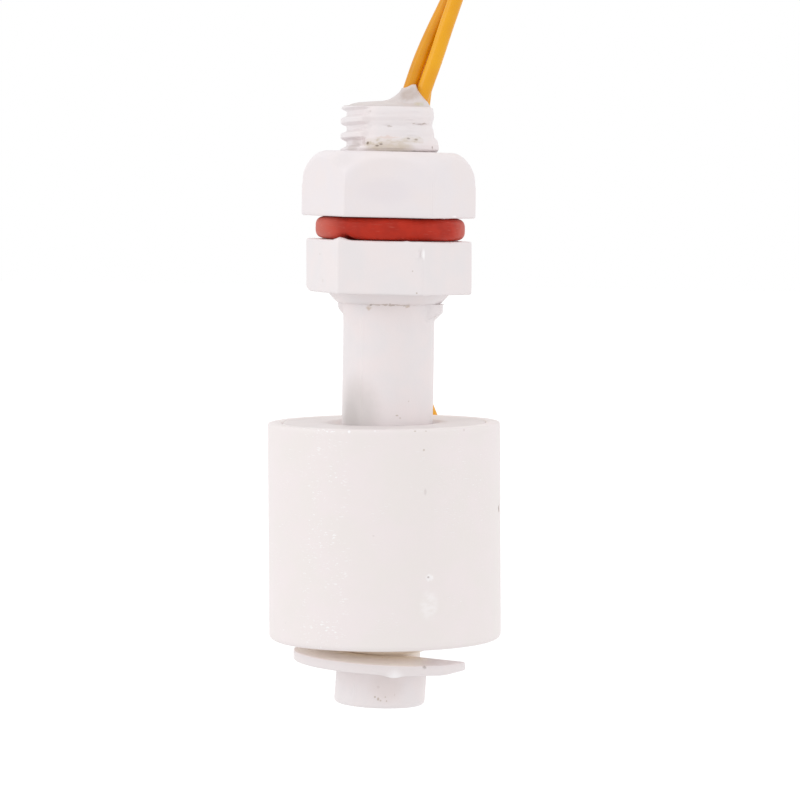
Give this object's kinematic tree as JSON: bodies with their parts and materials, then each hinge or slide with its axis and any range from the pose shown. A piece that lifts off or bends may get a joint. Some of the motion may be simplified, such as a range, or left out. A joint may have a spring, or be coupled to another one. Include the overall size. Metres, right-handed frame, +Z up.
{
  "type": "float level switch",
  "caption": "Vertical float level switch: a ring float slides on a closed stem under a hexagon flange, with a threaded neck, nut, red O-ring and two yellow leads.",
  "frame": {"origin": "centre of the flange's upper face, which the O-ring seats on, on the stem's axis", "axes": "+Z up the stem's axis towards the threaded neck and leads; -Y is the front; +X is to the right, the side that the leads lean to"},
  "size_m": [0.0232, 0.035, 0.0804],
  "materials": {
    "white_polypropylene": "satin",
    "float_polypropylene": "satin",
    "red_silicone": "satin",
    "white_resin": "satin",
    "yellow_pvc": "satin",
    "tinned_copper": "bright",
    "solder": "bright",
    "reed_alloy": "satin",
    "capsule_glass": "clear",
    "ferrite": "matt",
    "shrink_sleeve": "matt",
    "tie_nylon": "satin"
  },
  "bodies": {
    "stem_unit": {"switch_body": "white_polypropylene", "retaining_clip": "white_polypropylene", "potting": "white_resin", "reed_glass": "capsule_glass", "reed_blade_upper": "reed_alloy", "reed_blade_lower": "reed_alloy", "joint_shrink_tube": "shrink_sleeve", "lead_coil": "yellow_pvc", "coil_tie": "tie_nylon", "lead_a": "yellow_pvc", "inner_wire_a": "yellow_pvc", "lead_tail_a": "yellow_pvc", "wire_core_a": "tinned_copper", "lead_tip_a": "tinned_copper", "solder_joint_a": "solder", "lead_b": "yellow_pvc", "inner_wire_b": "yellow_pvc", "lead_tail_b": "yellow_pvc", "wire_core_b": "tinned_copper", "lead_tip_b": "tinned_copper", "solder_joint_b": "solder"},
    "magnet": {"ring_magnet": "ferrite"},
    "float": {"float_shell": "float_polypropylene", "float_cap": "float_polypropylene"},
    "seal": {"o_ring": "red_silicone"},
    "nut": {"panel_nut": "white_polypropylene"}
  },
  "joints": [
    {"name": "float_lift", "type": "slide", "parent": "stem_unit", "child": "magnet", "axis": [0, 0, 1], "range_m": [-0.001, 0.01]},
    {"name": "float_spin", "type": "hinge", "parent": "magnet", "child": "float", "pos_m": [0, 0, -0.029], "axis": [0, 0, 1], "continuous": true},
    {"name": "nut_advance", "type": "slide", "parent": "stem_unit", "child": "seal", "axis": [0, 0, 1], "range_m": [0, 0.0045]},
    {"name": "nut_turn", "type": "hinge", "parent": "seal", "child": "nut", "pos_m": [0, 0, 0.0055], "axis": [0, 0, 1], "range_deg": [0, 1080]}
  ],
  "couplings": [
    {"joint": "nut_turn", "follows": "nut_advance", "rad_per_m": 4188.8}
  ]
}
